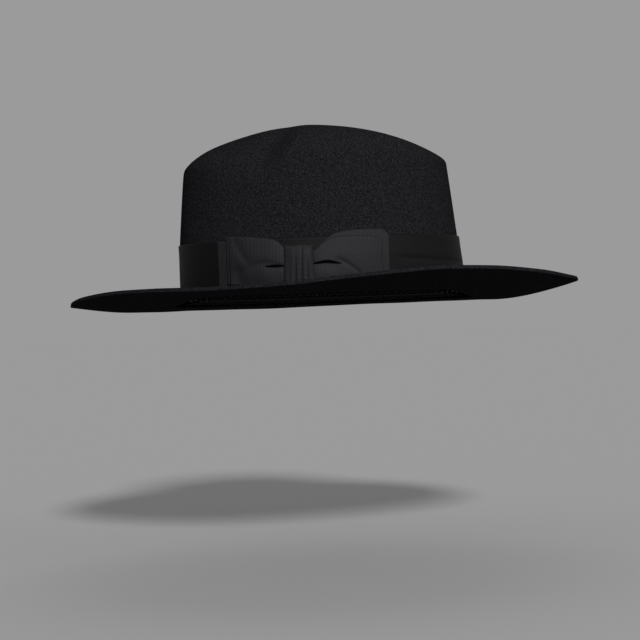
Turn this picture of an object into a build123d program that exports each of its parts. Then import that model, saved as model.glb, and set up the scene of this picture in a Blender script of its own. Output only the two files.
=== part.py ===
from build123d import *
import os
from math import cos, exp, pi, radians, sin

os.makedirs("parts", exist_ok=True)

# A felt hat with a creased crown, a wide raw-edged brim, a ribbon band and a flat side bow.
# Front is -Y, the wearer's left (the bow side) is +X, up is +Z. Sizes are in millimetres.
# Heights in the drawing count from the brim break, the ring where the crown meets the brim.

# Crown oval, outside the felt at the break
crown_half_width = 85.0
crown_half_length = 105.1
crown_forward = 0.9  # the crown's centre stands this far in front of the brim's centre
# The wall leans in above these heights, by these amounts per millimetre
front_lean_from = 45.0
front_lean = 0.088
rear_lean_from = 15.0
rear_lean = 0.12
side_lean_from = 30.0
side_lean = 0.10
# Crown top
wall_top = 97.0  # where the wall starts to round over
wall_blend = 7.0  # the shoulder's last ring lies this far down the wall
ridge_top = 125.0  # highest point of the two side ridges
ridge_top_y = -13.0
ridge_front_y = -78.0
ridge_rear_y = 88.0
ridge_front_drop = 12.0
ridge_rear_drop = 24.0
ridge_half_width = 43.0
ridge_taper = 0.26  # the ridges come this share closer at the front
dent_floor = 99.0  # floor of the top dent, at mid length
dent_floor_slope = 0.04
flat_share = 0.25  # the dent's floor is flat out to this share of the way to the ridge
dent_curve = 1.8  # power of the climb from the flat to the ridge
# Shoulder section between ridge and wall: 2 is a full round, less is flatter
front_fullness = 1.38
side_fullness = 2.0
rear_fullness = 1.9
# The two finger dents on the front of the ridges
pinch_depth = 7.0
pinch_rear_y = -17.0  # a dent's rear edge at the height below; it slants forward under it
pinch_rear_z = 112.0
pinch_slant = 0.7
pinch_reach = 26.0  # deepest this far in front of the rear edge
pinch_front_y = -84.0
pinch_front_fade = 16.0
pinch_z = 105.0
pinch_spread = 15.0
pinch_sink = 0.15  # the felt goes down by this share of the push inwards
pinch_middle = 20.0  # within this distance of the centre line the push dies out
# Brim
brim_width = 82.0
brim_felt = 2.6
crown_felt = 2.0
break_fillet = 4.0
brim_sag = 5.2  # how far the brim dips between the break and its edge
dip_shape = 0.75  # below 1, the dip is deepest nearer the break
edge_rise = (8.0, -3.9, -3.1, 1.8, -1.7, -1.2)  # edge height: a sum of cosines of the azimuth
# Along the bow side the brim doesn't dip: it rises at once from a small roll at the break
roll_height = 4.2
roll_reach = 4.0
roll_from = 0.2  # sine of the azimuth where the dip starts to give way to the roll
roll_full = 0.65  # and where none of the dip is left
# Ribbon
ribbon_width = 36.0
ribbon_thickness = 0.8
ribbon_bottom = 6.8
layer_gap = 0.12
felt_gap = 0.2  # between the felt and what lies on it, whose walls are plainer than the felt's
# Bow, along Y on the wearer's left
bow_centre = -17.8
knot_width = 18.6
knot_top = 36.9
knot_bottom = 10.0
knot_thickness = 1.4
front_loop_length = 41.5
rear_loop_length = 53.0
tail_length = 6.0
tail_low_margin = 1.0
tail_high_margin = 0.5
loop_opening = 2.0
bow_ribbon = 0.7
# Loop outlines: along the bow from the folded end, and down from the loop's top edge
front_straight = 31.0
front_turn = 37.0
front_turn_drop = 4.0
rear_corner = 3.0
rear_corner_drop = 2.0
rear_straight = 20.0
rear_ease = 34.0
rear_ease_drop = 2.0
rear_turn = 43.0
rear_turn_drop = 6.0
mouth_margin = 3.0  # a loop's mouth is this much narrower than the knot, above and below
rear_mouth_margin = 5.0
knot_flare = 0.6  # the knot's lower end is wider by this on each side
# Head side
sweatband_height = 42.0
sweatband_thickness = 1.0
reed_size = 2.2
tape_height = 12.0
tape_thickness = 0.35
lining_thickness = 0.25
lining_bottom = 28.0
lining_top = 80.0
tip_ease = 0.5  # the tip's edge stops this far inside the lining's side
back_bow_width = 34.0
back_bow_height = 12.0
# Thread
stitch_pitch = 5.6
stitch_start = 0.9  # how far outside the break the zigzag starts
stitch_reach = 4.8
stitch_thread = 0.8
stitch_thickness = 0.3
stitch_clear = 0.35

ring_points = 48
azimuths = [2 * pi * i / ring_points for i in range(ring_points)]


def soft_step(x):
    x = min(1.0, max(0.0, x))
    return x * x * (3 - 2 * x)


def wall_oval(height):
    """Half width, half length and centre of the crown's outer oval at a height."""
    front = crown_half_length - front_lean * max(0.0, height - front_lean_from)
    rear = crown_half_length - rear_lean * max(0.0, height - rear_lean_from)
    side = crown_half_width - side_lean * max(0.0, height - side_lean_from)
    return side, (front + rear) / 2, (rear - front) / 2 - crown_forward


def rise_at(t):
    return sum(share * cos(i * t) for i, share in enumerate(edge_rise))


def rolled_at(t):
    """How far the roll has taken the place of the dip, from 0 to 1."""
    return soft_step((sin(t) - roll_from) / (roll_full - roll_from))


def under_brim(t, s):
    """Height of the brim's underside, with s from 0 at the break to 1 at the edge."""
    dip = brim_sag * sin(pi * s**dip_shape)
    roll = roll_height * (1 - exp(-s * brim_width / roll_reach) - s)
    rolled = rolled_at(t)
    return rise_at(t) * s**2 - (1 - rolled) * dip + rolled * roll


def ridge_height(y):
    if y > ridge_top_y:
        share = (y - ridge_top_y) / (ridge_rear_y - ridge_top_y)
        return ridge_top - ridge_rear_drop * share**2
    share = (ridge_top_y - y) / (ridge_top_y - ridge_front_y)
    return ridge_top - ridge_front_drop * share**2


def ridge_at(t):
    """The top of the ridge that runs round the dent."""
    half_length = (ridge_rear_y - ridge_front_y) / 2
    x = ridge_half_width * sin(t) * (1 - ridge_taper * cos(t))
    y = (ridge_rear_y + ridge_front_y) / 2 - half_length * cos(t)
    return x, y, ridge_height(y)


def wall_at(t, height, inset=0.0):
    half_width, half_length, centre = wall_oval(height)
    return (half_width - inset) * sin(t), centre - (half_length - inset) * cos(t), height


def pinched(point):
    """Moves a point of the crown's top in towards the middle at the finger dents."""
    x, y, z = point
    rear = pinch_rear_y - pinch_slant * (pinch_rear_z - z)
    ahead = max(0.0, rear - y) / pinch_reach
    along = ahead * exp(1 - ahead) * soft_step((y - pinch_front_y) / pinch_front_fade)
    push = pinch_depth * along * exp(-(((z - pinch_z) / pinch_spread) ** 2))
    side = max(-1.0, min(1.0, x / pinch_middle))
    return x - push * side, y, z - pinch_sink * push * abs(side)


def fullness_at(t):
    end = front_fullness if cos(t) > 0 else rear_fullness
    return side_fullness + (end - side_fullness) * soft_step(1.3 * abs(cos(t)))


def shoulder_at(t, turn, inset=0.0):
    """Between the ridge (turn 0) and the top of the wall (turn 90 degrees)."""
    ridge = ridge_at(t)
    wall = wall_at(t, wall_top)
    out = sin(turn) ** (2 / fullness_at(t))
    up = cos(turn) ** (2 / fullness_at(t))
    x = ridge[0] + (wall[0] - ridge[0]) * out - inset * sin(turn) * sin(t)
    y = ridge[1] + (wall[1] - ridge[1]) * out + inset * sin(turn) * cos(t)
    z = wall_top + (ridge[2] - wall_top) * up - inset * cos(turn)
    return pinched((x, y, z))


def dent_at(t, share, drop=0.0):
    """The dent, with share from 0 at its middle to 1 on the ridge."""
    x, y, top = ridge_at(t)
    middle = (ridge_rear_y + ridge_front_y) / 2
    x = x * share
    y = middle + (y - middle) * share
    floor = dent_floor - dent_floor_slope * y
    climb = max(0.0, (share - flat_share) / (1 - flat_share))
    return x, y, floor + (top - floor) * climb**dent_curve - drop


def brim_at(t, s, lift=0.0):
    x = (crown_half_width + brim_width * s) * sin(t)
    y = -crown_forward * (1 - s) - (crown_half_length + brim_width * s) * cos(t)
    return x, y, under_brim(t, s) + lift


def ring_from_break(place, lift=0.0):
    """A closed curve through one point for each azimuth, with heights from the break."""
    points = [Vector(*place(t)) + Vector(0, 0, lift) for t in azimuths]
    return Wire([Edge.make_spline(points, periodic=True)])


# The hat rests on the lowest point of its brim, which is the model's zero height
low_rings = [ring_from_break(lambda t, s=i / 40: brim_at(t, s)) for i in range(4, 30)]
break_height = -min(low.bounding_box().min.Z for low in low_rings)


def ring(place):
    return ring_from_break(place, break_height)


def dent_rings(inset):
    """Rings from the flat of the dent out to the ridge."""
    shares = [flat_share + (1 - flat_share) * i / 8 for i in range(9)]
    return [ring(lambda t, k=k: pinched(dent_at(t, k, inset))) for k in shares]


def shoulder_rings(inset):
    """Rings from the ridge, over the shoulder and on to the top of the wall."""
    rings = [ring(lambda t, a=radians(turn): shoulder_at(t, a, inset)) for turn in range(0, 90, 15)]
    return rings + [ring(lambda t: wall_at(t, wall_top - wall_blend, inset))]


def wall_rings(inset, low_ring):
    """Rings where the wall's lean changes, down to the start of the break's fillet."""
    bends = sorted({front_lean_from, rear_lean_from, side_lean_from}, reverse=True)
    return [ring(lambda t, h=height: wall_at(t, h, inset)) for height in bends] + [low_ring]


def wall_tube(bottom, top, gap, thickness):
    """An upright oval band whose inner face stands a gap outside the crown's wall."""
    bends = (front_lean_from, rear_lean_from, side_lean_from)
    heights = [bottom] + sorted(h for h in bends if bottom < h < top) + [top]
    with BuildPart() as tube:
        for offset_out, mode in ((gap + thickness, Mode.ADD), (gap, Mode.SUBTRACT)):
            for height in heights:
                half_width, half_length, centre = wall_oval(height)
                with BuildSketch(Plane((0, centre, height + break_height))):
                    Ellipse(half_width + offset_out, half_length + offset_out)
            loft(ruled=True, mode=mode)
    return tube.part


def side_patch(outline, gap, thickness):
    """A piece of a wall tube on the bow side, cut to an outline of (y, height) points."""
    heights = [height for _, height in outline]
    band = wall_tube(min(heights) - 1, max(heights) + 1, gap, thickness)
    with BuildPart() as patch:
        with BuildSketch(Plane.YZ):
            with BuildLine():
                Polyline([(y, h + break_height) for y, h in outline], close=True)
            make_face()
        extrude(amount=2 * crown_half_width)
        add(band, mode=Mode.INTERSECT)
    return patch.part


def finish(part, name):
    part.label = name
    export_step(part, f"parts/{name}.step")


# Felt: crown and brim are blocked from one piece
fillet_turns = (20, 45, 70, 90)
fillet_run = break_fillet / brim_width


def break_out(t, turn):
    """The outer fillet between the wall and the top of the brim."""
    wall = wall_at(t, break_fillet + brim_felt)
    foot = brim_at(t, fillet_run, brim_felt)
    out = 1 - cos(turn)
    down = sin(turn)
    return (
        wall[0] + (foot[0] - wall[0]) * out,
        wall[1] + (foot[1] - wall[1]) * out,
        wall[2] + (foot[2] - wall[2]) * down,
    )


def break_in(t, turn):
    """The edge of the head opening, from the inner wall down to the brim's underside."""
    wall = wall_at(t, break_fillet, crown_felt)
    foot = brim_at(t, 0)
    out = 1 - cos(turn)
    down = sin(turn)
    return (
        wall[0] + (foot[0] - wall[0]) * out,
        wall[1] + (foot[1] - wall[1]) * out,
        wall[2] + (foot[2] - wall[2]) * down,
    )


outer_low = [ring(lambda t: wall_at(t, break_fillet + brim_felt))]
outer_low += [ring(lambda t, a=radians(turn): break_out(t, a)) for turn in fillet_turns]
inner_low = [ring(lambda t: wall_at(t, break_fillet, crown_felt))]
inner_low += [ring(lambda t, a=radians(turn): break_in(t, a)) for turn in fillet_turns]
skins = []
for inset, low_rings in ((0.0, outer_low), (crown_felt, inner_low)):
    shoulder = shoulder_rings(inset)
    dent = dent_rings(inset)[:-1] + [shoulder[0]]
    wall = [shoulder[-1]] + wall_rings(inset, low_rings[0])
    skins += [Shell.make_loft(rings) for rings in (dent, shoulder, low_rings)]
    skins.append(Shell.make_loft(wall, ruled=True))
    skins.append(Shell(Face(dent[0])))
brim_shares = (0.12, 0.22, 0.34, 0.48, 0.62, 0.76, 0.88, 1.0)
top_rings = [outer_low[-1]] + [ring(lambda t, s=s: brim_at(t, s, brim_felt)) for s in brim_shares]
under_rings = [inner_low[-1]] + [ring(lambda t, s=s: brim_at(t, s)) for s in (0.05,) + brim_shares]
skins += [Shell.make_loft(rings) for rings in (top_rings, under_rings)]
skins.append(Shell.make_loft([top_rings[-1], under_rings[-1]], ruled=True))
faces = [face for skin in skins for face in skin.faces()]
with BuildPart() as felt_body:
    add(Solid(Shell(faces)))
finish(felt_body.part, "felt_body")

# Ribbon band
ribbon_top = ribbon_bottom + ribbon_width
finish(wall_tube(ribbon_bottom, ribbon_top, felt_gap, ribbon_thickness), "ribbon_band")

# Bow: a tail flat on the band, two folded loops and a knot strip round their middle
tail_gap = felt_gap + ribbon_thickness + layer_gap
loop_gap = tail_gap + bow_ribbon + layer_gap
loop_depth = 2 * bow_ribbon + loop_opening
knot_gap = loop_gap + loop_depth + layer_gap
front_end = bow_centre - knot_width / 2 - front_loop_length
rear_end = bow_centre + knot_width / 2 + rear_loop_length
tuck = 5.0  # how far a loop reaches in under the knot
loop_bottom = 7.3
front_top = 45.3
rear_top = 46.9


def folded_loop(outline, pocket):
    with BuildPart() as loop:
        add(side_patch(outline, loop_gap, loop_depth))
        add(side_patch(pocket, loop_gap + bow_ribbon, loop_opening), mode=Mode.SUBTRACT)
    return loop.part


front_mouth = front_end + front_loop_length
front_outline = [
    (front_end, loop_bottom),
    (front_end, front_top),
    (front_end + front_straight, front_top),
    (front_end + front_turn, front_top - front_turn_drop),
    (front_mouth, knot_top - mouth_margin),
    (front_mouth + tuck, knot_top - mouth_margin),
    (front_mouth + tuck, knot_bottom + mouth_margin),
    (front_mouth, knot_bottom + mouth_margin),
    (front_end + front_turn, loop_bottom),
]
rear_mouth = rear_end - rear_loop_length
rear_outline = [
    (rear_end, loop_bottom),
    (rear_end, rear_top - rear_corner_drop),
    (rear_end - rear_corner, rear_top),
    (rear_end - rear_straight, rear_top),
    (rear_end - rear_ease, rear_top - rear_ease_drop),
    (rear_end - rear_turn, rear_top - rear_turn_drop),
    (rear_mouth, knot_top - rear_mouth_margin),
    (rear_mouth - tuck, knot_top - rear_mouth_margin),
    (rear_mouth - tuck, knot_bottom + mouth_margin),
    (rear_mouth, knot_bottom + mouth_margin),
    (rear_end - rear_turn, loop_bottom),
]
fold_wall = 1.2  # ribbon left round the end of a loop
pocket_over = 4.0  # the pocket is cut this far past the loop's open edges


def pocket_for(end, away):
    """The air inside a loop: open above, below and towards the knot."""
    start = end + away * fold_wall
    stop = end + away * (max(front_loop_length, rear_loop_length) + 2 * tuck)
    low = loop_bottom - pocket_over
    high = rear_top + pocket_over
    return [(start, low), (start, high), (stop, high), (stop, low)]


finish(folded_loop(front_outline, pocket_for(front_end, 1)), "bow_front_loop")
finish(folded_loop(rear_outline, pocket_for(rear_end, -1)), "bow_rear_loop")

tail_low = ribbon_bottom + tail_low_margin
tail_high = ribbon_top - tail_high_margin
tail_outline = [
    (front_end - tail_length, tail_low),
    (front_end - tail_length, tail_high),
    (bow_centre, tail_high),
    (bow_centre, tail_low),
]
finish(side_patch(tail_outline, tail_gap, bow_ribbon), "bow_tail")

knot_outline = [
    (bow_centre - knot_width / 2, knot_top),
    (bow_centre + knot_width / 2, knot_top),
    (bow_centre + knot_width / 2 + knot_flare, knot_bottom),
    (bow_centre - knot_width / 2 - knot_flare, knot_bottom),
]
finish(side_patch(knot_outline, knot_gap, knot_thickness), "bow_knot")

# Head side: tape against the felt, leather sweatband, reed under its lower edge
tape_gap = -crown_felt - felt_gap - tape_thickness
band_gap = tape_gap - layer_gap - sweatband_thickness
reed_top = break_fillet
sweatband_bottom = reed_top + layer_gap
sweatband_top = sweatband_bottom + sweatband_height
finish(wall_tube(sweatband_bottom, sweatband_top, band_gap, sweatband_thickness), "sweatband")
finish(
    wall_tube(sweatband_bottom, sweatband_bottom + tape_height, tape_gap, tape_thickness),
    "reed_tape",
)
reed_inset = crown_felt + felt_gap + reed_size / 2
reed_oval = wall_oval(reed_top)
with BuildPart() as sweatband_reed:
    with BuildSketch(Plane.XY.offset(break_height + reed_top - reed_size)):
        with Locations((0, reed_oval[2])):
            outer_reach = reed_inset - reed_size / 2
            inner_reach = reed_inset + reed_size / 2
            Ellipse(reed_oval[0] - outer_reach, reed_oval[1] - outer_reach)
            Ellipse(reed_oval[0] - inner_reach, reed_oval[1] - inner_reach, mode=Mode.SUBTRACT)
    extrude(amount=reed_size)
    round_edges = sweatband_reed.edges().filter_by(GeomType.ELLIPSE)
    fillet(round_edges, reed_size / 4)
finish(sweatband_reed.part, "sweatband_reed")

# Small ribbon bow over the seam at the back of the sweatband
bow_out = band_gap - layer_gap - ribbon_thickness
bow_height = (sweatband_bottom + sweatband_top) / 2
with BuildPart() as sweatband_bow:
    with BuildSketch(Plane.XZ.offset(-2 * crown_half_length)):
        with Locations((0, bow_height + break_height)):
            Rectangle(back_bow_width, back_bow_height)
    extrude(amount=2 * crown_half_length)
    add(
        wall_tube(sweatband_bottom, sweatband_top, bow_out, ribbon_thickness),
        mode=Mode.INTERSECT,
    )
finish(sweatband_bow.part, "sweatband_bow")

# Lining: a side piece up the wall, and an oval tip across the top
side_gap = -crown_felt - felt_gap - lining_thickness
finish(wall_tube(lining_bottom, lining_top, side_gap, lining_thickness), "lining_side")
tip_oval = wall_oval(lining_top)
tip_inset = crown_felt + felt_gap + tip_ease
with BuildPart() as lining_tip:
    with BuildSketch(Plane((0, tip_oval[2], lining_top + layer_gap + break_height))):
        Ellipse(tip_oval[0] - tip_inset, tip_oval[1] - tip_inset)
    extrude(amount=lining_thickness)
finish(lining_tip.part, "lining_tip")


# Zigzag stitch on the underside of the brim, round the head opening
mean_radius = (crown_half_width + crown_half_length) / 2
zigzags = round(2 * pi * mean_radius / stitch_pitch)
near_share = stitch_start / brim_width
far_share = near_share + stitch_reach / brim_width


def zigzag_corner(index, shift):
    share = near_share if index % 2 == 0 else far_share
    x, y, _ = brim_at(pi * index / zigzags, share + shift / brim_width)
    return x, y


# The thread lies in a thin skin that follows the felt just outside the head opening
skin_shares = (near_share / 2, 0.35 * far_share, 0.7 * far_share, 1.3 * far_share)
over = [ring(lambda t, s=s: brim_at(t, s, -stitch_clear)) for s in skin_shares]
under = [ring(lambda t, s=s: brim_at(t, s, -stitch_clear - stitch_thickness)) for s in skin_shares]
skin_lofts = [Shell.make_loft(rings) for rings in (over, under)]
skin_lofts += [Shell.make_loft([over[i], under[i]], ruled=True) for i in (0, -1)]
skin_faces = [face for loft_shell in skin_lofts for face in loft_shell.faces()]
with BuildPart() as sweatband_stitches:
    add(Solid(Shell(skin_faces)))
    with BuildSketch(Plane.XY.offset(-break_height)):
        for shift, mode in ((stitch_thread / 2, Mode.ADD), (-stitch_thread / 2, Mode.SUBTRACT)):
            with BuildLine():
                Polyline([zigzag_corner(i, shift) for i in range(2 * zigzags)], close=True)
            make_face(mode=mode)
    extrude(amount=4 * break_height, mode=Mode.INTERSECT)
finish(sweatband_stitches.part, "sweatband_stitches")
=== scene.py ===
import math

import bmesh
import bpy
import numpy as np
from mathutils import Matrix, Vector


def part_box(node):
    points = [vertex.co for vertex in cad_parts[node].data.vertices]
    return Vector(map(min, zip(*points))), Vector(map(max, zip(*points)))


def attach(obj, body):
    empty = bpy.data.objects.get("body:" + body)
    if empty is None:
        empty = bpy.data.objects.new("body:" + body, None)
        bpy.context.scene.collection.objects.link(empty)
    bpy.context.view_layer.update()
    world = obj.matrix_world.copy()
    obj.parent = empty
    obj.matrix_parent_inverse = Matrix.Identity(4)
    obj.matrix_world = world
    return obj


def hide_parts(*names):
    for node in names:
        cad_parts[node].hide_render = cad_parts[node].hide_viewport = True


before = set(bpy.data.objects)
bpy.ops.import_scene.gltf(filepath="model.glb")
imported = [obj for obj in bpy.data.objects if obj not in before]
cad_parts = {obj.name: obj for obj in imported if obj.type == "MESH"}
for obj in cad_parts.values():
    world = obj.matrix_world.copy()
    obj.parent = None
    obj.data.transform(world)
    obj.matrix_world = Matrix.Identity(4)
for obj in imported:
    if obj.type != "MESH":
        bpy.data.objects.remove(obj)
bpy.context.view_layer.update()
mm = 0.001

# The break is the ring where the crown meets the brim. Shapes count heights in mm from it.
reedTop = 4.0  # the sweatband's reed ends this far above the break
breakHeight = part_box("sweatband_reed")[1][2] / mm - reedTop


# small helpers


def softStep(x):
    x = np.clip(x, 0, 1)
    return x * x * (3 - 2 * x)


def bump(x, middle, width):
    return np.exp(-(((x - middle) / width) ** 2))


def toLinear(hexColour):
    # sRGB hex to a linear colour
    parts = [int(hexColour[i : i + 2], 16) / 255 for i in (1, 3, 5)]
    return [p / 12.92 if p <= 0.04045 else ((p + 0.055) / 1.055) ** 2.4 for p in parts] + [1.0]


def meshPiece(name, points, faces, material, uv=None, merge=0.0):
    # points in mm in the hat's own heights, faces as index lists, uv per point in metres
    mesh = bpy.data.meshes.new(name)
    spots = np.asarray(points, float).reshape(-1, 3) * mm
    spots[:, 2] += breakHeight * mm
    mesh.from_pydata(spots.tolist(), [], [list(f) for f in faces])
    if uv is not None:
        layer = mesh.uv_layers.new(name="cloth")
        flat = np.asarray(uv, float).reshape(-1, 2)
        corner = np.zeros(len(mesh.loops), np.int32)
        mesh.loops.foreach_get("vertex_index", corner)
        layer.data.foreach_set("uv", flat[corner].ravel())
    if merge:
        work = bmesh.new()
        work.from_mesh(mesh)
        bmesh.ops.remove_doubles(work, verts=work.verts, dist=merge)
        bmesh.ops.recalc_face_normals(work, faces=work.faces)
        work.to_mesh(mesh)
        work.free()
    mesh.materials.append(material)
    mesh.polygons.foreach_set("use_smooth", [True] * len(mesh.polygons))
    piece = bpy.data.objects.new(name, mesh)
    bpy.context.scene.collection.objects.link(piece)
    return piece


def gridFaces(rows, cols, around=False, skip=()):
    # quads of a grid of points; around closes each row; skip leaves out columns
    faces = []
    last = cols if around else cols - 1
    for r in range(rows - 1):
        for c in range(last):
            if c not in skip:
                d = (c + 1) % cols
                faces.append((r * cols + c, r * cols + d, (r + 1) * cols + d, (r + 1) * cols + c))
    return faces


def thicken(piece, thickness):
    wall = piece.modifiers.new("thickness", "SOLIDIFY")
    wall.thickness = thickness * mm
    wall.offset = 0.0


def settle(piece):
    # turns a piece and its modifiers into a plain mesh
    shown = piece.evaluated_get(bpy.context.evaluated_depsgraph_get())
    mesh = bpy.data.meshes.new_from_object(shown)
    piece.modifiers.clear()
    piece.data = mesh
    return piece


def place(piece, slotName, *nodes):
    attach(piece, "root")
    if nodes:
        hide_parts(*nodes)


def heights(node):
    # the lowest and highest point of a CAD node, in mm from the break
    return [corner[2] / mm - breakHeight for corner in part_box(node)]


# materials


def addNode(tree, kind, settings=None, **inputs):
    # adds a node; an input is a value or an output socket, named by its name or as _0, _1
    node = tree.nodes.new(kind)
    for name, value in (settings or {}).items():
        setattr(node, name, value)
    for name, value in inputs.items():
        socket = node.inputs[int(name[1:]) if name[1:].isdigit() else name]
        if isinstance(value, bpy.types.NodeSocket):
            tree.links.new(value, socket)
        else:
            socket.default_value = value
    return node


def newMaterial(name):
    material = bpy.data.materials.new(name)
    material.use_nodes = True
    tree = material.node_tree
    return material, tree, tree.nodes["Principled BSDF"]


def ramp(tree, factor, stops):
    node = addNode(tree, "ShaderNodeValToRGB", Fac=factor)
    elements = node.color_ramp.elements
    while len(elements) < len(stops):
        elements.new(0.5)
    for element, (position, colour) in zip(elements, stops):
        element.position = position
        element.color = toLinear(colour)
    return node.outputs["Color"]


def noise(tree, where, scale, detail, **more):
    node = addNode(tree, "ShaderNodeTexNoise", Vector=where, Scale=scale, Detail=detail, **more)
    return node.outputs["Fac"]


def scaledSum(tree, value, share, rest):
    node = addNode(tree, "ShaderNodeMath", {"operation": "MULTIPLY_ADD"}, _0=value, _1=share, _2=rest)
    return node.outputs[0]


def objectSpace(tree):
    return addNode(tree, "ShaderNodeTexCoord").outputs["Object"]


def surface(tree, shader, look, colour, height):
    # look holds the roughness, the specular level and the relief as (strength, distance in m)
    strength, distance = look["relief"]
    relief = addNode(tree, "ShaderNodeBump", Height=height, Strength=strength, Distance=distance)
    tree.links.new(colour, shader.inputs["Base Color"])
    tree.links.new(relief.outputs[0], shader.inputs["Normal"])
    shader.inputs["Roughness"].default_value = look["roughness"]
    shader.inputs["Specular IOR Level"].default_value = look["specular"]


feltLook = {
    "tones": [(0.38, "#060607"), (0.5, "#151517"), (0.66, "#2c2c30")],
    "mottle": 880,
    "grain": 1900,
    "fibre": 5200,
    "fibreShare": 0.45,
    "fibreStretch": 0.35,
    "relief": (0.4, 0.0003),
    "roughness": 0.95,
    "specular": 0.0,
}


def furFelt():
    # black fur felt, blocked and brushed: dull, a little mottled, with a short soft nap
    look = feltLook
    material, tree, shader = newMaterial("fur_felt")
    where = objectSpace(tree)
    mottle = noise(tree, where, look["mottle"], 5.0, Roughness=0.7)
    grain = noise(tree, where, look["grain"], 3.0, Roughness=0.6)
    total = scaledSum(tree, mottle, 0.5, scaledSum(tree, grain, 0.5, 0.0))
    upright = addNode(tree, "ShaderNodeMapping", Vector=where, Scale=(1.0, 1.0, look["fibreStretch"]))
    fibre = noise(tree, upright.outputs[0], look["fibre"], 4.0, Roughness=0.75, Distortion=0.6)
    pile = scaledSum(tree, fibre, look["fibreShare"], total)
    surface(tree, shader, look, ramp(tree, total, look["tones"]), pile)
    return material


# the band and the bows are one black grosgrain; the band's darker tones are painted shade and the bows' lighter
# tones are painted light
ribbonLook = {
    "bandShadedTones": [(0.15, "#030303"), (1.0, "#09090a")],
    "bowLitTones": [(0.15, "#0e0e0f"), (1.0, "#202023")],
    "ribPitch": 0.9,  # real ribs are about 0.8 mm; drawn a little coarser so that they show
    "slubScale": (500, 4200, 1),
    "slubShare": 0.35,
    "relief": (0.35, 0.0002),
    "roughness": 0.6,
    "specular": 0.09,
}


def grosgrain(name, tones):
    # black grosgrain ribbon: cross ribs that catch the light in a soft band
    look = ribbonLook
    material, tree, shader = newMaterial(name)
    cloth = addNode(tree, "ShaderNodeUVMap", {"uv_map": "cloth"}).outputs[0]
    wave = {"wave_type": "BANDS", "bands_direction": "X", "wave_profile": "SIN"}
    scale = 2 * math.pi / (20 * look["ribPitch"] * mm)  # a band texture repeats 20 times in 2 pi
    ribs = addNode(tree, "ShaderNodeTexWave", wave, Vector=cloth, Scale=scale, Distortion=0.25, Detail=2.0)
    ribs.inputs["Detail Scale"].default_value = 1.5
    threads = addNode(tree, "ShaderNodeMapping", Vector=cloth, Scale=look["slubScale"])
    slub = noise(tree, threads.outputs[0], 1.0, 3.0)
    height = scaledSum(tree, slub, look["slubShare"], ribs.outputs["Fac"])
    surface(tree, shader, look, ramp(tree, height, tones), height)
    return material


leatherLook = {
    "tones": [(0.3, "#15110f"), (0.7, "#2a231f")],
    "pores": 1100.0,
    "creases": 260.0,
    "relief": (0.35, 0.0003),
    "roughness": 0.42,
    "specular": 0.25,
}


def sweatLeather():
    # black sheepskin roan, glazed: fine pores and a low satin shine
    look = leatherLook
    material, tree, shader = newMaterial("sweatband_leather")
    where = objectSpace(tree)
    edges = {"feature": "DISTANCE_TO_EDGE"}
    pores = addNode(tree, "ShaderNodeTexVoronoi", edges, Vector=where, Scale=look["pores"])
    creases = noise(tree, where, look["creases"], 5.0, Roughness=0.65)
    height = scaledSum(tree, creases, 0.5, pores.outputs["Distance"])
    surface(tree, shader, look, ramp(tree, creases, look["tones"]), height)
    return material


satinLook = {
    "tones": [(0.3, "#121215"), (0.7, "#1f1f24")],
    "weave": 2600.0,
    "weaveShare": 0.04,
    "folds": 38.0,
    "relief": (0.3, 0.0015),
    "roughness": 0.33,
    "specular": 0.5,
    "sheen": (0.4, 0.3),
}


def satin():
    # black acetate satin: smooth, with a broad bright sheen
    look = satinLook
    material, tree, shader = newMaterial("lining_satin")
    where = objectSpace(tree)
    weave = noise(tree, where, look["weave"], 2.0)
    folds = noise(tree, where, look["folds"], 3.0)
    height = scaledSum(tree, weave, look["weaveShare"], folds)
    surface(tree, shader, look, ramp(tree, folds, look["tones"]), height)
    shader.inputs["Sheen Weight"].default_value = look["sheen"][0]
    shader.inputs["Sheen Roughness"].default_value = look["sheen"][1]
    return material


threadLook = {"tones": ("#010101", "#040404"), "grain": 3000.0, "roughness": 0.9, "specular": 0.0}
tapeLook = {"tones": ("#0c0c0c", "#171718"), "grain": 2400.0, "roughness": 0.85, "specular": 0.02}
reedLook = {"tones": ("#111112", "#1a1a1b"), "grain": 400.0, "roughness": 0.5, "specular": 0.1}


def plainBlack(name, look):
    # twisted cotton thread, woven cotton tape or dull plastic in one black tone
    material, tree, shader = newMaterial(name)
    grain = noise(tree, objectSpace(tree), look["grain"], 3.0)
    colour = ramp(tree, grain, list(zip((0.3, 0.7), look["tones"])))
    surface(tree, shader, {"relief": (0.3, 0.0002), **look}, colour, grain)
    return material


felt = furFelt()
# a darker copy of the ribbon with painted shade for the band and a lighter copy with painted light for the bows
shadedBandRibbon = grosgrain("band_grosgrain_painted_shade", ribbonLook["bandShadedTones"])
litBowRibbon = grosgrain("bow_grosgrain_painted_light", ribbonLook["bowLitTones"])
leather = sweatLeather()
lining = satin()
thread = plainBlack("thread", threadLook)
tape = plainBlack("tape_cotton", tapeLook)
reedPlastic = plainBlack("reed_plastic", reedLook)
print("materials ready")


# felt body

crown = {
    "halfWidth": 85.0,
    "halfLength": 105.1,
    "forward": 0.9,
    "frontLeanFrom": 45.0,
    "frontLean": 0.088,
    "rearLeanFrom": 15.0,
    "rearLean": 0.12,
    "sideLeanFrom": 30.0,
    "sideLean": 0.10,
    "wallTop": 97.0,
    "ridgeTop": 125.9,
    "ridgeTopY": -13.0,
    "ridgeFrontY": -78.0,
    "ridgeRearY": 88.0,
    "ridgeFrontDrop": 12.0,
    "ridgeRearDrop": 24.0,
    "ridgeHalfWidth": 43.0,
    "ridgeTaper": 0.26,
    "dentFloor": 99.0,
    "dentSlope": 0.04,
    "flatShare": 0.25,
    "dentCurve": 1.8,
    "frontFullness": 1.38,  # 2 is a full round shoulder, less is flatter
    "sideFullness": 2.0,
    "rearFullness": 1.9,
    "fullnessTurn": 1.3,  # how soon the ends take over from the sides
    "felt": 2.0,
}
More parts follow.
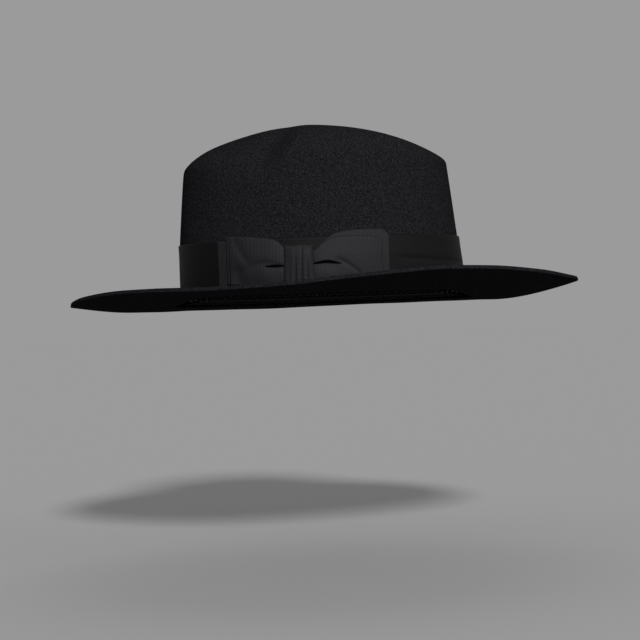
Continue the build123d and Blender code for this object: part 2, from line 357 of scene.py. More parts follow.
brim = {
    "width": 82.0,
    "felt": 2.6,
    "sag": 5.2,
    "sagShape": 0.75,
    "fillet": 4.0,
    "rise": (8.0, -3.9, -3.1, 1.8, -1.7, -1.2),
    # on the bow side the brim rises at once from a small roll at the break
    "rollHeight": 4.2,
    "rollReach": 4.0,
    "rollFrom": 0.2,
    "rollFull": 0.65,
}
pinch = {
    "depth": 13.0,
    "rearY": -17.0,  # its rear edge at rearHeight, which slants forward below
    "rearHeight": 112.0,
    "slant": 0.7,
    "reach": 16.0,  # deepest this far in front of the rear edge
    "fade": 26.0,
    "frontY": -84.0,
    "frontEase": 16.0,
    "height": 111.0,
    "spread": 17.0,
    "low": 84.0,  # nothing is pushed in below this, where the lining lies
    "lowEase": 10.0,
    "middle": 20.0,  # fades out this near the middle of the hat
    "sink": 0.03,
}
skin = {
    "cols": 300,
    "dentRows": 33,
    "shoulderRows": 34,
    "wallRows": 38,
    "filletRows": 8,
    "brimRows": 45,
    "smoothFirst": 2,
    "smoothLast": 72,
    "smoothPasses": 14,
    "edgeRows": 6,
    "edgeOut": 0.45,
}


def wallOval(height):
    front = crown["halfLength"] - crown["frontLean"] * np.maximum(0, height - crown["frontLeanFrom"])
    rear = crown["halfLength"] - crown["rearLean"] * np.maximum(0, height - crown["rearLeanFrom"])
    side = crown["halfWidth"] - crown["sideLean"] * np.maximum(0, height - crown["sideLeanFrom"])
    return side, (front + rear) / 2, (rear - front) / 2 - crown["forward"]


def wallAt(t, height, out=0.0):
    side, half, centre = wallOval(height)
    return np.stack([(side + out) * np.sin(t), centre - (half + out) * np.cos(t), height + 0 * t], -1)


def away(t):
    # straight out from the hat's upright axis
    return np.stack([np.sin(t), -np.cos(t), 0 * t], -1)


def underBrim(t, s):
    edge = sum(share * np.cos(i * t) for i, share in enumerate(brim["rise"]))
    rolled = softStep((np.sin(t) - brim["rollFrom"]) / (brim["rollFull"] - brim["rollFrom"]))
    dip = brim["sag"] * np.sin(np.pi * s ** brim["sagShape"])
    roll = brim["rollHeight"] * (1 - np.exp(-s * brim["width"] / brim["rollReach"]) - s)
    return edge * s**2 - (1 - rolled) * dip + rolled * roll


def brimAt(t, s, lift=0.0):
    x = (crown["halfWidth"] + brim["width"] * s) * np.sin(t)
    y = -crown["forward"] * (1 - s) - (crown["halfLength"] + brim["width"] * s) * np.cos(t)
    return np.stack([x, y, underBrim(t, s) + lift], -1)


def ridgeAt(t):
    half = (crown["ridgeRearY"] - crown["ridgeFrontY"]) / 2
    x = crown["ridgeHalfWidth"] * np.sin(t) * (1 - crown["ridgeTaper"] * np.cos(t))
    y = (crown["ridgeRearY"] + crown["ridgeFrontY"]) / 2 - half * np.cos(t)
    back = np.clip((y - crown["ridgeTopY"]) / (crown["ridgeRearY"] - crown["ridgeTopY"]), 0, 1)
    front = np.clip((crown["ridgeTopY"] - y) / (crown["ridgeTopY"] - crown["ridgeFrontY"]), 0, 1)
    z = crown["ridgeTop"] - crown["ridgeRearDrop"] * back**2 - crown["ridgeFrontDrop"] * front**2
    return np.stack([x, y, z], -1)


def shoulderAt(t, turn):
    ridge = ridgeAt(t)
    wall = wallAt(t, crown["wallTop"])
    ends = np.where(np.cos(t) > 0, crown["frontFullness"], crown["rearFullness"])
    toEnds = softStep(crown["fullnessTurn"] * np.abs(np.cos(t)))
    fullness = crown["sideFullness"] + (ends - crown["sideFullness"]) * toEnds
    out = math.sin(turn) ** (2 / fullness)
    up = math.cos(turn) ** (2 / fullness)
    point = ridge + (wall - ridge) * out[..., None]
    point[..., 2] = crown["wallTop"] + (ridge[..., 2] - crown["wallTop"]) * up
    return point


def dentAt(t, share):
    ridge = ridgeAt(t)
    middle = (crown["ridgeRearY"] + crown["ridgeFrontY"]) / 2
    x = ridge[..., 0] * share
    y = middle + (ridge[..., 1] - middle) * share
    floor = crown["dentFloor"] - crown["dentSlope"] * y
    climb = max(0.0, (share - crown["flatShare"]) / (1 - crown["flatShare"]))
    return np.stack([x, y, floor + (ridge[..., 2] - floor) * climb ** crown["dentCurve"]], -1)


def pinched(points):
    # the finger dent on each side of the front, with a firm rear edge
    x, y, z = points[..., 0], points[..., 1], points[..., 2]
    rear = pinch["rearY"] - pinch["slant"] * (pinch["rearHeight"] - z)
    ahead = rear - y
    along = softStep(ahead / pinch["reach"]) * np.exp(-np.maximum(ahead - pinch["reach"], 0) / pinch["fade"])
    along = along * softStep((y - pinch["frontY"]) / pinch["frontEase"])
    level = bump(z, pinch["height"], pinch["spread"]) * softStep((z - pinch["low"]) / pinch["lowEase"])
    push = pinch["depth"] * along * level
    side = np.clip(x / pinch["middle"], -1, 1)
    points[..., 0] -= push * side
    points[..., 2] -= pinch["sink"] * push * np.abs(side)
    return points


def smoothRows(points, first, last, passes):
    for _ in range(passes):
        beside = points[first - 1 : last - 1] + points[first + 1 : last + 1]
        points[first:last] = 0.25 * beside + 0.5 * points[first:last]
    return points


def gridNormals(points):
    # outward normals of a grid that is closed along its columns
    down = np.gradient(points, axis=0)
    across = (np.roll(points, -1, 1) - np.roll(points, 1, 1)) / 2
    normal = np.cross(across, down)
    length = np.linalg.norm(normal, axis=-1, keepdims=True)
    return -normal / np.maximum(length, 1e-9)


def outerSkin():
    # rings from the middle of the dent over the shoulder, down the wall and out to the brim's edge
    t = np.linspace(0, 2 * np.pi, skin["cols"], endpoint=False)
    rows = [dentAt(t, k) for k in np.linspace(0, 1, skin["dentRows"] + 1)[:-1]]
    rows += [shoulderAt(t, a) for a in np.linspace(0, np.pi / 2, skin["shoulderRows"])]
    wallFrom, wallTo = crown["wallTop"] - 2.5, brim["fillet"] + brim["felt"]
    rows += [wallAt(t, h) for h in np.linspace(wallFrom, wallTo, skin["wallRows"])]
    filletShare = brim["fillet"] / brim["width"]
    filletFoot = brimAt(t, filletShare, brim["felt"])
    wallFoot = rows[-1].copy()
    for a in np.linspace(0, np.pi / 2, skin["filletRows"] + 1)[1:]:
        point = wallFoot + (filletFoot - wallFoot) * (1 - math.cos(a))
        point[..., 2] = wallFoot[..., 2] + (filletFoot[..., 2] - wallFoot[..., 2]) * math.sin(a)
        rows.append(point)
    shares = np.linspace(filletShare, 1, skin["brimRows"] + 1)[1:]
    rows += [brimAt(t, s, brim["felt"]) for s in shares]
    points = pinched(np.array(rows))
    return t, smoothRows(points, skin["smoothFirst"], skin["smoothLast"], skin["smoothPasses"])


def makeFelt():
    t, outer = outerSkin()
    rows = len(outer)
    # low swells that hand blocking leaves
    normal = gridNormals(outer)
    normal[0] = (0, 0, 1)
    x, y, z = outer[..., 0], outer[..., 1], outer[..., 2]
    swell = 0.22 * np.sin(x / 19 + 1.1) * np.sin(y / 23 + 0.4)
    swell = swell + 0.16 * np.sin(y / 11 + z / 17) * np.cos(x / 13)
    fade = softStep(np.arange(rows) / 12)[:, None]
    outer = outer + normal * (swell * fade)[..., None]
    # inner skin, one felt thickness inside
    normal = gridNormals(outer)
    normal[0] = (0, 0, 1)
    crownRows = skin["dentRows"] + skin["shoulderRows"] + skin["wallRows"]
    share = softStep((np.arange(rows) - crownRows) / 20)[:, None, None]
    thickness = crown["felt"] + (brim["felt"] - crown["felt"]) * share
    inner = outer - normal * thickness
    # raw cut edge: blunt, a little proud in the middle and uneven
    outward = away(t)
    ragged = 0.10 * np.sin(37 * t) + 0.07 * np.sin(83 * t + 1) + 0.06 * np.sin(151 * t + 2)
    edge = []
    for a in np.linspace(0, np.pi, skin["edgeRows"] + 2)[1:-1]:
        middle = (outer[-1] + inner[-1]) / 2 + (outer[-1] - inner[-1]) / 2 * math.cos(a)
        edge.append(middle + outward * ((skin["edgeOut"] + ragged) * math.sin(a) ** 0.3)[:, None])
    points = np.concatenate([outer, np.array(edge), inner[::-1]])
    faces = gridFaces(len(points), skin["cols"], around=True)
    piece = meshPiece("felt_hat", points, faces, felt, merge=1e-6)
    place(piece, "fur_felt", "felt_body")


makeFelt()
print("felt ready")

# ribbon band

band = {
    "bottom": heights("ribbon_band")[0],
    "top": heights("ribbon_band")[1],
    "out": 0.62,
    "thickness": 0.7,
    # long soft creases behind the bow: depth, height, fall along the hat, width
    "creases": ((0.55, 26.5, 0.07, 1.3), (0.35, 17.5, 0.05, 1.2)),
    "creaseFrom": 50.0,
    "creaseMiddle": 54.0,
}


def makeBand():
    cols = 480
    rows = 26
    t = np.linspace(0, 2 * np.pi, cols + 1)
    height = np.linspace(band["bottom"], band["top"], rows)
    side, half, _ = wallOval(20.0)
    step = np.hypot(side * np.diff(np.sin(t)), half * np.diff(np.cos(t)))
    along = np.concatenate([[0], np.cumsum(step)])
    points = []
    uv = []
    for h in height:
        v = (h - band["bottom"]) / (band["top"] - band["bottom"])
        y = -half * np.cos(t)
        bowSide = softStep(np.sin(t) * 4)
        past = y - band["creaseMiddle"]
        crease = sum(deep * bump(h, at - fall * past, wide) for deep, at, fall, wide in band["creases"])
        crease = crease * bowSide * softStep((y - band["creaseFrom"]) / 12)
        # a slight looseness, most at the top edge
        slack = 0.22 * bump(v, 1.0, 0.12) * (1 + 0.5 * np.sin(5 * t + 1)) + 0.12 * np.sin(9 * t + 3 * v)
        points.append(wallAt(t, h) + (band["out"] + slack - crease)[:, None] * away(t))
        uv.append(np.stack([along * mm, np.full(cols + 1, h * mm)], -1))
    points = np.array(points)
    faces = gridFaces(rows, cols + 1)
    # the band takes the darker ribbon copy with painted shade
    piece = meshPiece("ribbon_band_cloth", points, faces, shadedBandRibbon, uv=np.array(uv))
    thicken(piece, band["thickness"])
    place(piece, "grosgrain", "ribbon_band")


makeBand()
print("band ready")

# bow

bow = {
    "centre": -17.8,
    "knotWidth": 18.6,
    "knotTop": 36.9,
    "knotBottom": 10.0,
    # upright folds of the knot: place, depth, width, share of the depth that reaches the top
    "knotFolds": ((-2.0, 1.0, 0.8, 0.1), (2.3, 1.0, 0.7, 0.45), (6.3, 0.9, 0.8, 0.2), (-6.2, 0.45, 1.5, 0.4)),
    "tailEnd": -74.4,
    "tailBottom": 7.8,
    "tail": 1.6,  # how far each layer's middle stands out from the felt
    "loopBack": 2.5,
    "loopFront": 5.2,
    "ribbon": 0.6,
}


def besideCrown(y, z, out):
    # a point on the bow side: along the crown, up it and out from it
    side, half, centre = wallOval(z)
    t = np.arccos(np.clip((centre - y) / half, -1, 1))
    nx = np.sin(t) / side
    ny = -np.cos(t) / half
    n = np.hypot(nx, ny)
    return np.stack([side * np.sin(t) + out * nx / n, y + out * ny / n, z], -1)


def smoothLine(pairs):
    # a softened line of heights through (along, height) pairs
    xs, ys = np.array(sorted(pairs)).T

    def at(y):
        return sum(np.interp(y + shift, xs, ys) for shift in (-1.6, -0.8, 0.0, 0.8, 1.6)) / 5

    return at


def ribbonPiece(name, node, parts, flat, area):
    # parts are (points, faces, uv) of one ribbon's layers
    points = np.concatenate([p.reshape(-1, 3) for p, _, _ in parts])
    uv = np.concatenate([u.reshape(-1, 2) for _, _, u in parts])
    faces = []
    start = 0
    for p, quads, _ in parts:
        faces += [tuple(start + i for i in quad) for quad in quads]
        start += p.size // 3
    # the bow pieces take the lighter ribbon copy with painted light
    piece = meshPiece(name, points, faces, litBowRibbon, uv=uv, merge=2e-5)
    thicken(piece, bow["ribbon"])
    area = min(area, 0.999 * flat[0] * flat[1])
    place(piece, "grosgrain", node)


def flatLayer(ys, top, bottom, out, rows=26, phase=0.0):
    ys = np.asarray(ys)
    v = np.linspace(0, 1, rows)[:, None]
    z = bottom(ys)[None] + (top(ys) - bottom(ys))[None] * v
    y = np.broadcast_to(ys, z.shape)
    wave = 0.12 * np.sin(y / 5 + phase) * np.sin(z / 9 + phase)
    points = besideCrown(y, z, out + wave)
    area = float((top(ys) - bottom(ys)).mean() * (ys[-1] - ys[0]))
    return (points, gridFaces(rows, len(ys)), np.stack([y * mm, z * mm], -1)), area


def foldedLoop(s):
    # out from the knot on the back layer, round the fold and back to the knot on the front
    direction = 1 if s["end"] > s["knot"] else -1
    half = 18  # points across each half of the ribbon's width
    back, fold, front = 22, 9, 76  # rows along the back layer, the fold and the front layer
    length = abs(s["end"] - s["knot"])
    radius = (s["frontOut"] - s["backOut"]) / 2
    share = np.concatenate([np.linspace(0, 1, back), np.ones(fold), np.linspace(1, 0, front)])
    arc = np.linspace(0, np.pi, fold + 2)[1:-1]
    turn = np.concatenate([np.zeros(back), arc, np.full(front, np.pi)])
    yPath = s["knot"] + direction * (share * (length - radius) + np.sin(turn) * radius)
    y = np.repeat(yPath[:, None], 2 * half, 1)
    inFront = np.repeat(((1 - np.cos(turn)) / 2)[:, None], 2 * half, 1)
    along = np.repeat((share * length)[:, None], 2 * half, 1)
    v = np.linspace(0, 1, half)[None]
    top, bottom = s["top"](y[:, :1]), s["bottom"](y[:, :1])
    middle = s["slotHeight"](y[:, :1])
    z = np.concatenate([bottom + (middle - bottom) * v, middle + (top - middle) * v], 1)
    upper = np.concatenate([np.zeros(half), np.ones(half)])[None]
    width = (z - bottom) / (top - bottom)
    # the front layer swells and pulls in under the knot
    swell = np.sin(np.pi * np.clip(along / length, 0, 1)) ** 0.7 * np.sin(np.pi * width) ** 0.6
    out = s["backOut"] + (s["frontOut"] - s["backOut"]) * inFront
    out = out + inFront * (s["swell"] * swell - s["dip"] * (1 - softStep(along / 8)))
    # the slot beside the knot: the upper part laps over the lower one
    slot = np.clip((along - s["slotFrom"]) / (s["slotTo"] - s["slotFrom"]), 0, 1)
    slot = np.sin(np.pi * slot) ** 0.7 * (inFront > 0.99)
    nearSlot = slot * np.exp(-(np.abs(z - middle) / 5.0) ** 1.5)
    z = z + nearSlot * s["slotGap"] * np.where(upper > 0.5, 0.6, -0.4)
    out = out + nearSlot * np.where(upper > 0.5, s["lap"], -0.9 * s["lap"])
    out = out + inFront * s["folds"](y, z)
    points = besideCrown(y, z, out)
    step = np.abs(np.diff(yPath, prepend=yPath[0])) + radius * np.abs(np.diff(turn, prepend=turn[0]))
    travelled = np.cumsum(step)
    uv = np.stack([np.repeat(travelled[:, None], 2 * half, 1) * mm, z * mm], -1)
    faces = gridFaces(len(yPath), 2 * half, skip=(half - 1,))
    area = float(((top - bottom)[:, 0] * step).sum())
    return (points, faces, uv), area, travelled[-1]


knotFront = bow["centre"] - bow["knotWidth"] / 2
knotRear = bow["centre"] + bow["knotWidth"] / 2
underKnot = 5.0  # the loops run on this far under the knot

# heights of the loops' edges along the hat, as (along, height) pairs
frontLoopLines = {
    "top": [
        (-72, 45.3), (-65, 45.3), (-55, 44.6), (-43.5, 43.2),
        (-36, 42.3), (-31, 39.9), (-27.4, 35.0), (-20, 33.5),
    ],
    "edgeTop": [(-72, 45.5), (-64, 45.0), (-55, 44.0), (-43.5, 42.6), (-36, 41.4), (-31, 38.2), (-27, 33.0)],
    "bottom": [(-72, 11.4), (-58, 11.1), (-46, 9.3), (-36, 9.3), (-27, 12.2), (-20, 12.8)],
    "slot": [(-72, 25), (-50, 24.5), (-39, 22.6), (-27, 22.6), (-20, 23)],
}
rearLoopLines = {
    "top": [
        (-15, 31.0), (-7.6, 31.6), (-3.3, 36.1), (2.5, 40.5), (9.4, 42.3),
        (19.7, 42.6), (30, 42.1), (35, 41.4), (37.2, 39.8), (42, 38.5),
    ],
    "backTop": [
        (-15, 31.0), (-7, 33.0), (0, 40.0), (7, 44.6), (14, 46.2),
        (22, 46.8), (37, 47.0), (41, 46.4), (42.9, 44.4), (44.6, 42.0),
    ],
    "bottom": [(-15, 14.0), (-8.5, 12.5), (0, 9.5), (12, 8.0), (42, 8.0)],
    "slot": [(-15, 23.2), (-7.6, 23.5), (1.2, 24.5), (11, 22.8), (42, 22)],
}
tailTop = [(-80, 42.4), (-46, 42.4), (-38, 40.8), (-32, 37.5), (-28, 33.5), (-10, 33.0)]


def makeFrontLoop():
    def folds(y, z):
        pocket = -1.5 * bump(y, -58.5, 4.0) * softStep((27 - z) / 8) * softStep((z - 9) / 4)
        diagonal = -0.9 * bump(y + 62 - 0.55 * (44 - z), 0, 3.2) * softStep((z - 22) / 8)
        arch = -0.7 * bump(z, 25 - 0.022 * (y + 40) ** 2, 2.0) * softStep((y + 58) / 10)
        lobe = 0.6 * bump(y, -44, 8.0) * bump(z, 17, 5.0)
        return pocket + diagonal + arch + lobe

    loop = {
        "knot": knotFront + underKnot,
        "end": -64.2,
        "backOut": bow["loopBack"] + 0.7,
        "frontOut": bow["loopFront"],
        "swell": 1.3,
        "dip": 1.3,
        "top": smoothLine(frontLoopLines["top"]),
        "bottom": smoothLine(frontLoopLines["bottom"]),
        "slotHeight": smoothLine(frontLoopLines["slot"]),
        "slotFrom": 4.5,
        "slotTo": 18.5,
        "slotGap": 1.7,
        "lap": 0.8,
        "folds": folds,
    }
    front, frontArea, run = foldedLoop(loop)
    # the ribbon's other end is turned under and shows as a narrow edge beyond the fold
    edgeTop = smoothLine(frontLoopLines["edgeTop"])
    edge, edgeArea = flatLayer(np.linspace(-67.6, -30, 50), edgeTop, loop["bottom"], bow["loopBack"])
    flat = ((45.5 - 9.3) * mm, (run + 37.6) * mm)
    ribbonPiece("bow_front_loop_cloth", "bow_front_loop", [edge, front], flat, (frontArea + edgeArea) * mm * mm)


def makeRearLoop():
    def folds(y, z):
        line = 25.5 - 0.30 * np.maximum(y - 10, 0) - 0.02 * (y - 6) ** 2
        crease = -0.7 * bump(z, line, 1.7) * softStep((y - 4) / 6) * softStep((34 - y) / 14)
        lobe = 0.7 * bump(y, 6, 12.0) * bump(z, 15, 6.0)
        hollow = -0.4 * bump(y, 22, 9.0) * bump(z, 33, 7.0)
        return crease + lobe + hollow

    loop = {
        "knot": knotRear - underKnot,
        "end": 38.9,
        "backOut": bow["loopBack"] + 0.7,
        "frontOut": bow["loopFront"],
        "swell": 1.0,
        "dip": 1.3,
        "top": smoothLine(rearLoopLines["top"]),
        "bottom": smoothLine(rearLoopLines["bottom"]),
        "slotHeight": smoothLine(rearLoopLines["slot"]),
        "slotFrom": 4.5,
        "slotTo": 24.5,
        "slotGap": 2.0,
        "lap": 0.9,
        "folds": folds,
    }
    front, frontArea, run = foldedLoop(loop)
    backTop = smoothLine(rearLoopLines["backTop"])
    ys = np.linspace(-13, 44.3, 70)
    back, backArea = flatLayer(ys, backTop, loop["bottom"], bow["loopBack"], phase=1.0)
    flat = ((47.0 - 8.0) * mm, (run + 57.3) * mm)
    ribbonPiece("bow_rear_loop_cloth", "bow_rear_loop", [back, front], flat, (frontArea + backArea) * mm * mm)


def makeTail():
    # its top follows the loop down towards the knot, so that only its end shows
    ys = np.linspace(bow["tailEnd"], bow["centre"], 60)
    strip, area = flatLayer(ys, smoothLine(tailTop), lambda y: bow["tailBottom"] + 0 * y, bow["tail"])
    flat = (34.6 * mm, (bow["centre"] - bow["tailEnd"]) * 1.03 * mm)
    ribbonPiece("bow_tail_cloth", "bow_tail", [strip], flat, 1.02 * area * mm * mm)


def makeKnot():
    # a strip round the middle of the bow, drawn into a few upright folds that deepen below
    backOut, frontOut = bow["tail"] + 0.3, bow["loopFront"] + 2.2
    radius = (frontOut - backOut) / 2
    top, bottom = bow["knotTop"], bow["knotBottom"]
    middle = (top + bottom) / 2
    straight = np.linspace(top - radius, bottom + radius, 34)
    flatSide = np.ones(len(straight))
    arc = np.linspace(0, np.pi, 12)[1:-1]
    under = bottom + radius - radius * np.sin(arc)
    over = top - radius + radius * np.sin(arc)
    rise = np.concatenate([straight, under, straight[::-1], over])[:, None]
    depth = np.concatenate([flatSide, np.cos(arc), -flatSide, -np.cos(arc)])[:, None]
    across = 56
    w = np.linspace(-1, 1, across)[None]
    lower = softStep((middle + 8 - rise) / 15)
    y = bow["centre"] + bow["knotWidth"] / 2 * (1 + 0.06 * lower) * w
    out = (frontOut + backOut) / 2 + radius * depth + 0 * w
    folds = 0
    for at, sink, narrow, reach in bow["knotFolds"]:
        groove = bump(y - bow["centre"] - 0.02 * (rise - middle), at, narrow)
        folds = folds - sink * groove * (reach + (1 - reach) * lower)
    out = out + softStep(depth * 1.5) * (folds - 1.8 * np.abs(w) ** 6)
    z = rise + 0.35 * np.sin(5.0 * w + 0.6) * softStep((rise - top + 2.5) / 2)
    points = besideCrown(y, z, out)
    around = len(rise)
    girth = 2 * (top - bottom - 2 * radius) + 2 * np.pi * radius
    travelled = np.linspace(0, girth, around, endpoint=False)[:, None] + 0 * w
    uv = np.stack([travelled * mm, y * mm], -1)
    faces = [tuple(i % (around * across) for i in quad) for quad in gridFaces(around + 1, across)]
    flat = (bow["knotWidth"] * mm, girth * mm)
    ribbonPiece("bow_knot_cloth", "bow_knot", [(points, faces, uv)], flat, girth * bow["knotWidth"] * mm * mm)


makeTail()
makeFrontLoop()
makeRearLoop()
makeKnot()
print("bow ready")

# inside: sweatband, tape, reed, lining

inside = {
    "bandOut": -3.2,  # each sheet's middle, out from the crown's outer skin
    "bandThickness": 0.95,
    "tapeOut": -2.4,
    "tapeThickness": 0.3,
    "liningOut": -2.45,
    "liningThickness": 0.2,
    "gathers": 26,
    "gatherDepth": 0.35,
    "tipOut": -3.1,
    "tipSag": 2.6,
    "tipPulls": 34,
    "tipPullHeight": 0.5,
    "bowThickness": 0.6,
}


def innerSheet(name, node, outOf, kind, material, slotName, rows=20, cols=360):
    # a closed band inside the crown, as low and as high as its CAD node
    low, high = heights(node)
    t = np.linspace(0, 2 * np.pi, cols, endpoint=False)
    height = np.linspace(low, high, rows)
    points = []
    for h in height:
        out = outOf(t, (h - low) / (high - low))
        points.append(wallAt(t, h) + out[:, None] * away(t))
    points = np.array(points)
    piece = meshPiece(name, points, gridFaces(rows, cols, around=True), material)
    thicken(piece, inside[kind + "Thickness"])
    place(piece, slotName, node)


def sweatOut(t, v):
    return inside["bandOut"] - 0.9 * v**3 + 0.15 * np.sin(7 * t + 1) * v - 0.5 * bump(v, 0.0, 0.06)


def liningOut(t, v):
    gathers = inside["gatherDepth"] * np.abs(np.sin(inside["gathers"] * t + 0.7 * np.sin(3 * t)))
    gathers = gathers * bump(v, 1.0, 0.6)
    return inside["liningOut"] - gathers - 0.3 * v


def tapeOut(t, v):
    return inside["tapeOut"] + 0 * t


innerSheet("sweatband_skin", "sweatband", sweatOut, "band", leather, "sweatband_leather")
innerSheet("reed_tape_cloth", "reed_tape", tapeOut, "tape", tape, "tape_cotton", rows=6)
innerSheet("lining_side_cloth", "lining_side", liningOut, "lining", lining, "lining_satin", cols=720)


def makeLiningTip():
    # the oval across the top, sagging a little, with soft pulls from its seam
    rings = 26
    cols = 360
    t = np.linspace(0, 2 * np.pi, cols, endpoint=False)
    top = heights("lining_tip")[0]
    edge = wallAt(t, heights("lining_side")[1], inside["tipOut"])
    middle = np.array([0, edge[:, 1].mean(), 0])
    rows = []
    for k in np.linspace(0, 1, rings):
        ring = middle + (edge - middle) * k
        pulls = inside["tipPullHeight"] * np.sin(inside["tipPulls"] * t) * k**6
        ripple = 0.3 * np.sin(ring[:, 0] / 14) * np.sin(ring[:, 1] / 17)
        ring[:, 2] = top - inside["tipSag"] * (1 - k**2) + pulls + ripple
        rows.append(ring)
    rows = np.array(rows)
    faces = gridFaces(rings, cols, around=True)
    piece = meshPiece("lining_tip_cloth", rows, faces, lining, merge=1e-6)
    thicken(piece, inside["liningThickness"])
    place(piece, "lining_satin", "lining_tip")


makeLiningTip()


def makeBackBow():
    # a small flat ribbon bow over the sweatband's back seam
    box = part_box("sweatband_bow")
    halfWide = (box[1][0] - box[0][0]) / 2 / mm
    halfTall = (box[1][2] - box[0][2]) / 2 / mm
    height = (box[1][2] + box[0][2]) / 2 / mm - breakHeight
    cols = 60
    rows = 14
    x = np.linspace(-halfWide, halfWide, cols)[None]
    v = np.linspace(-1, 1, rows)[:, None]
    spread = 0.42 + 0.58 * softStep(np.abs(x) / halfWide * 2.2)
    z = height + v * halfTall * spread
    side, half, centre = wallOval(z)
    puff = 0.9 * softStep(np.abs(x) / 4) * softStep((halfWide - np.abs(x)) / 4) * (1 - v**2)
    puff = puff + 1.1 * bump(x, 0, 2.2)
    out = inside["bandOut"] - 1.0 - puff
    angle = np.arcsin(x / side)
    points = np.stack([(side + out) * np.sin(angle), centre + (half + out) * np.cos(angle), z], -1)
    uv = np.stack([x * mm + 0 * v, z * mm], -1)
    # the back bow also takes the lighter ribbon copy with painted light
    piece = meshPiece("sweatband_bow_cloth", points, gridFaces(rows, cols), litBowRibbon, uv=uv)
    thicken(piece, inside["bowThickness"])
    place(piece, "grosgrain", "sweatband_bow")


makeBackBow()
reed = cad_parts["sweatband_reed"]
reed.data.materials.clear()
reed.data.materials.append(reedPlastic)
print("inside ready")

# zigzag stitch round the head opening, on the underside of the brim

stitch = {
    "pitch": 5.6,
    "start": 0.9,  # out from the break to the near points of the zigzag
    "reach": 4.8,
    "drop": 0.2,  # the thread's middle lies this far under the felt
    "thread": 0.4,
    "corner": 0.5,
}


def stitchTree():
    # Count points along the ring, every second one moved across by the ring's own "across" vectors
    tree = bpy.data.node_groups.new("zigzagStitch", "GeometryNodeTree")
    face = tree.interface
    face.new_socket("Geometry", in_out="INPUT", socket_type="NodeSocketGeometry")
    face.new_socket("Count", in_out="INPUT", socket_type="NodeSocketInt")
    face.new_socket("Thread Radius", in_out="INPUT", socket_type="NodeSocketFloat")
    face.new_socket("Corner Radius", in_out="INPUT", socket_type="NodeSocketFloat")
    face.new_socket("Geometry", in_out="OUTPUT", socket_type="NodeSocketGeometry")
    start = addNode(tree, "NodeGroupInput")
    curve = addNode(tree, "GeometryNodeMeshToCurve", _0=start.outputs["Geometry"])
    even = addNode(tree, "GeometryNodeResampleCurve", Curve=curve.outputs[0], Count=start.outputs["Count"])
    across = addNode(tree, "GeometryNodeInputNamedAttribute", {"data_type": "FLOAT_VECTOR"}, Name="across")
    index = addNode(tree, "GeometryNodeInputIndex")
    odd = addNode(tree, "ShaderNodeMath", {"operation": "MODULO"}, _0=index.outputs[0], _1=2.0)
    sideways = across.outputs["Attribute"]
    shift = addNode(tree, "ShaderNodeVectorMath", {"operation": "SCALE"}, _0=sideways, Scale=odd.outputs[0])
    moved = addNode(tree, "GeometryNodeSetPosition", Geometry=even.outputs[0], Offset=shift.outputs[0])
    corner, radius = start.outputs["Corner Radius"], start.outputs["Thread Radius"]
    rounded = addNode(tree, "GeometryNodeFilletCurve", Curve=moved.outputs[0], Radius=corner)
    profile = addNode(tree, "GeometryNodeCurvePrimitiveCircle", Resolution=6, Radius=radius)
    tube = addNode(tree, "GeometryNodeCurveToMesh", Curve=rounded.outputs[0])
    tree.links.new(profile.outputs[0], tube.inputs["Profile Curve"])
    real = addNode(tree, "GeometryNodeRealizeInstances", Geometry=tube.outputs[0])
    painted = addNode(tree, "GeometryNodeSetMaterial", Geometry=real.outputs[0], Material=thread)
    end = addNode(tree, "NodeGroupOutput")
    tree.links.new(painted.outputs[0], end.inputs[0])
    return tree


def makeStitches():
    cols = 720
    t = -np.linspace(0, 2 * np.pi, cols, endpoint=False)
    near = stitch["start"] / brim["width"]
    far = near + stitch["reach"] / brim["width"]
    ring = brimAt(t, near, -stitch["drop"]) * mm
    across = (brimAt(t, far, -stitch["drop"]) - brimAt(t, near, -stitch["drop"])) * mm
    ring[:, 2] += breakHeight * mm
    mesh = bpy.data.meshes.new("sweatband_stitch_thread")
    mesh.from_pydata(ring.tolist(), [(i, (i + 1) % cols) for i in range(cols)], [])
    mesh.attributes.new("across", "FLOAT_VECTOR", "POINT").data.foreach_set("vector", across.ravel())
    piece = bpy.data.objects.new("sweatband_stitch_thread", mesh)
    bpy.context.scene.collection.objects.link(piece)
    tree = stitchTree()
    run = float(np.linalg.norm(np.roll(ring, -1, 0) - ring, axis=1).sum())
    values = {
        "Count": 2 * round(run / (stitch["pitch"] * mm)),
        "Thread Radius": stitch["thread"] * mm,
        "Corner Radius": stitch["corner"] * mm,
    }
    modifier = piece.modifiers.new("stitches", "NODES")
    modifier.node_group = tree
    for item in tree.interface.items_tree:
        if item.in_out == "INPUT" and item.name in values:
            modifier[item.identifier] = values[item.name]
    settle(piece)
    place(piece, "thread", "sweatband_stitches")


makeStitches()
print("stitches ready")

# floor, light and camera

studio = {
    "floorDrop": 0.182,
    "floorReach": 60.0,
    "floor": "#929292",
    "surround": "#9c9b9c",
    "key": (3.9, 8, (1.0, 0.16, 0.52)),  # strength, angular size in degrees, direction it comes from
    "side": (0.7, 25, (0.35, 0.95, 0.35)),
    "back": (0.7, 40, (-1.0, 0.1, 1.1)),
}


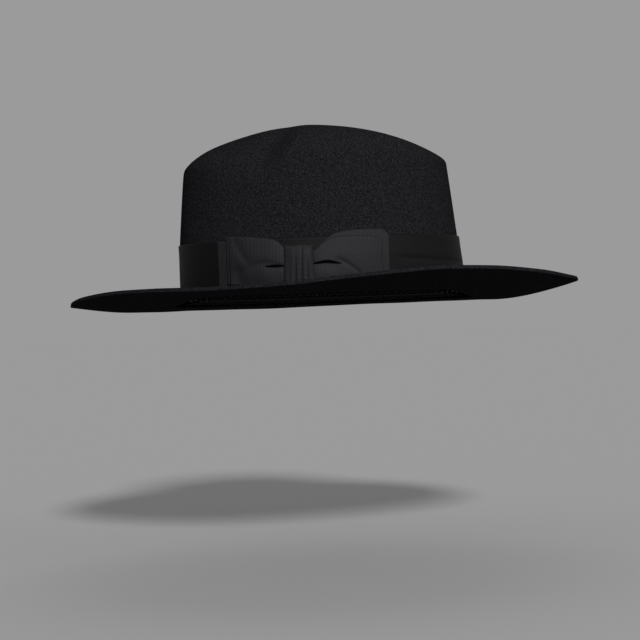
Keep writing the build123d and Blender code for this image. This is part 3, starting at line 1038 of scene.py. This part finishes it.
def makeStage():
    mesh = bpy.data.meshes.new("floor")
    r = studio["floorReach"]
    z = -studio["floorDrop"]
    mesh.from_pydata([(-r, -r, z), (r, -r, z), (r, r, z), (-r, r, z)], [], [(0, 1, 2, 3)])
    floor = bpy.data.objects.new("floor", mesh)
    bpy.context.scene.collection.objects.link(floor)
    material, tree, shader = newMaterial("floor_paint")
    shader.inputs["Base Color"].default_value = toLinear(studio["floor"])
    shader.inputs["Roughness"].default_value = 0.95
    shader.inputs["Specular IOR Level"].default_value = 0.0
    mesh.materials.append(material)
    world = bpy.data.worlds.new("studio")
    world.use_nodes = True
    world.node_tree.nodes["Background"].inputs["Color"].default_value = toLinear(studio["surround"])
    bpy.context.scene.world = world
    bpy.context.scene.view_settings.view_transform = "Standard"


def softSun(name, strength, size, comesFrom):
    light = bpy.data.lights.new(name, "SUN")
    light.energy = strength
    light.angle = math.radians(size)
    lamp = bpy.data.objects.new(name, light)
    lamp.rotation_euler = (-Vector(comesFrom)).to_track_quat("-Z", "Y").to_euler()
    bpy.context.scene.collection.objects.link(lamp)


makeStage()
softSun("key_softbox", *studio["key"])
softSun("side_softbox", *studio["side"])
softSun("back_softbox", *studio["back"])

view = {
    "focal": 1675 / 640 * 36,
    "distance": 1.25,
    "eyeDrop": 17.79,
    "yaw": -0.94,
    "roll": 2.02,
    "shiftX": -0.0070,
    "shiftY": 0.0047,
}


def makeCamera():
    camera = bpy.data.cameras.new("camera")
    camera.sensor_width = 36
    camera.lens = view["focal"]
    camera.shift_x = view["shiftX"]
    camera.shift_y = view["shiftY"]
    camera.clip_end = 50
    yaw, roll = math.radians(view["yaw"]), math.radians(view["roll"])
    turn = Matrix.Rotation(yaw, 3, "Z") @ Matrix.Rotation(-roll, 3, "X")
    eye = turn @ Vector((view["distance"], 0, -view["eyeDrop"] * mm))
    eye.z += breakHeight * mm
    right = turn @ Vector((0, 1, 0))
    up = turn @ Vector((0, 0, 1))
    back = turn @ Vector((1, 0, 0))
    spot = bpy.data.objects.new("camera", camera)
    basis = Matrix((right, up, back)).transposed()
    spot.matrix_world = Matrix.Translation(eye) @ basis.to_4x4()
    bpy.context.scene.collection.objects.link(spot)
    bpy.context.scene.camera = spot


makeCamera()
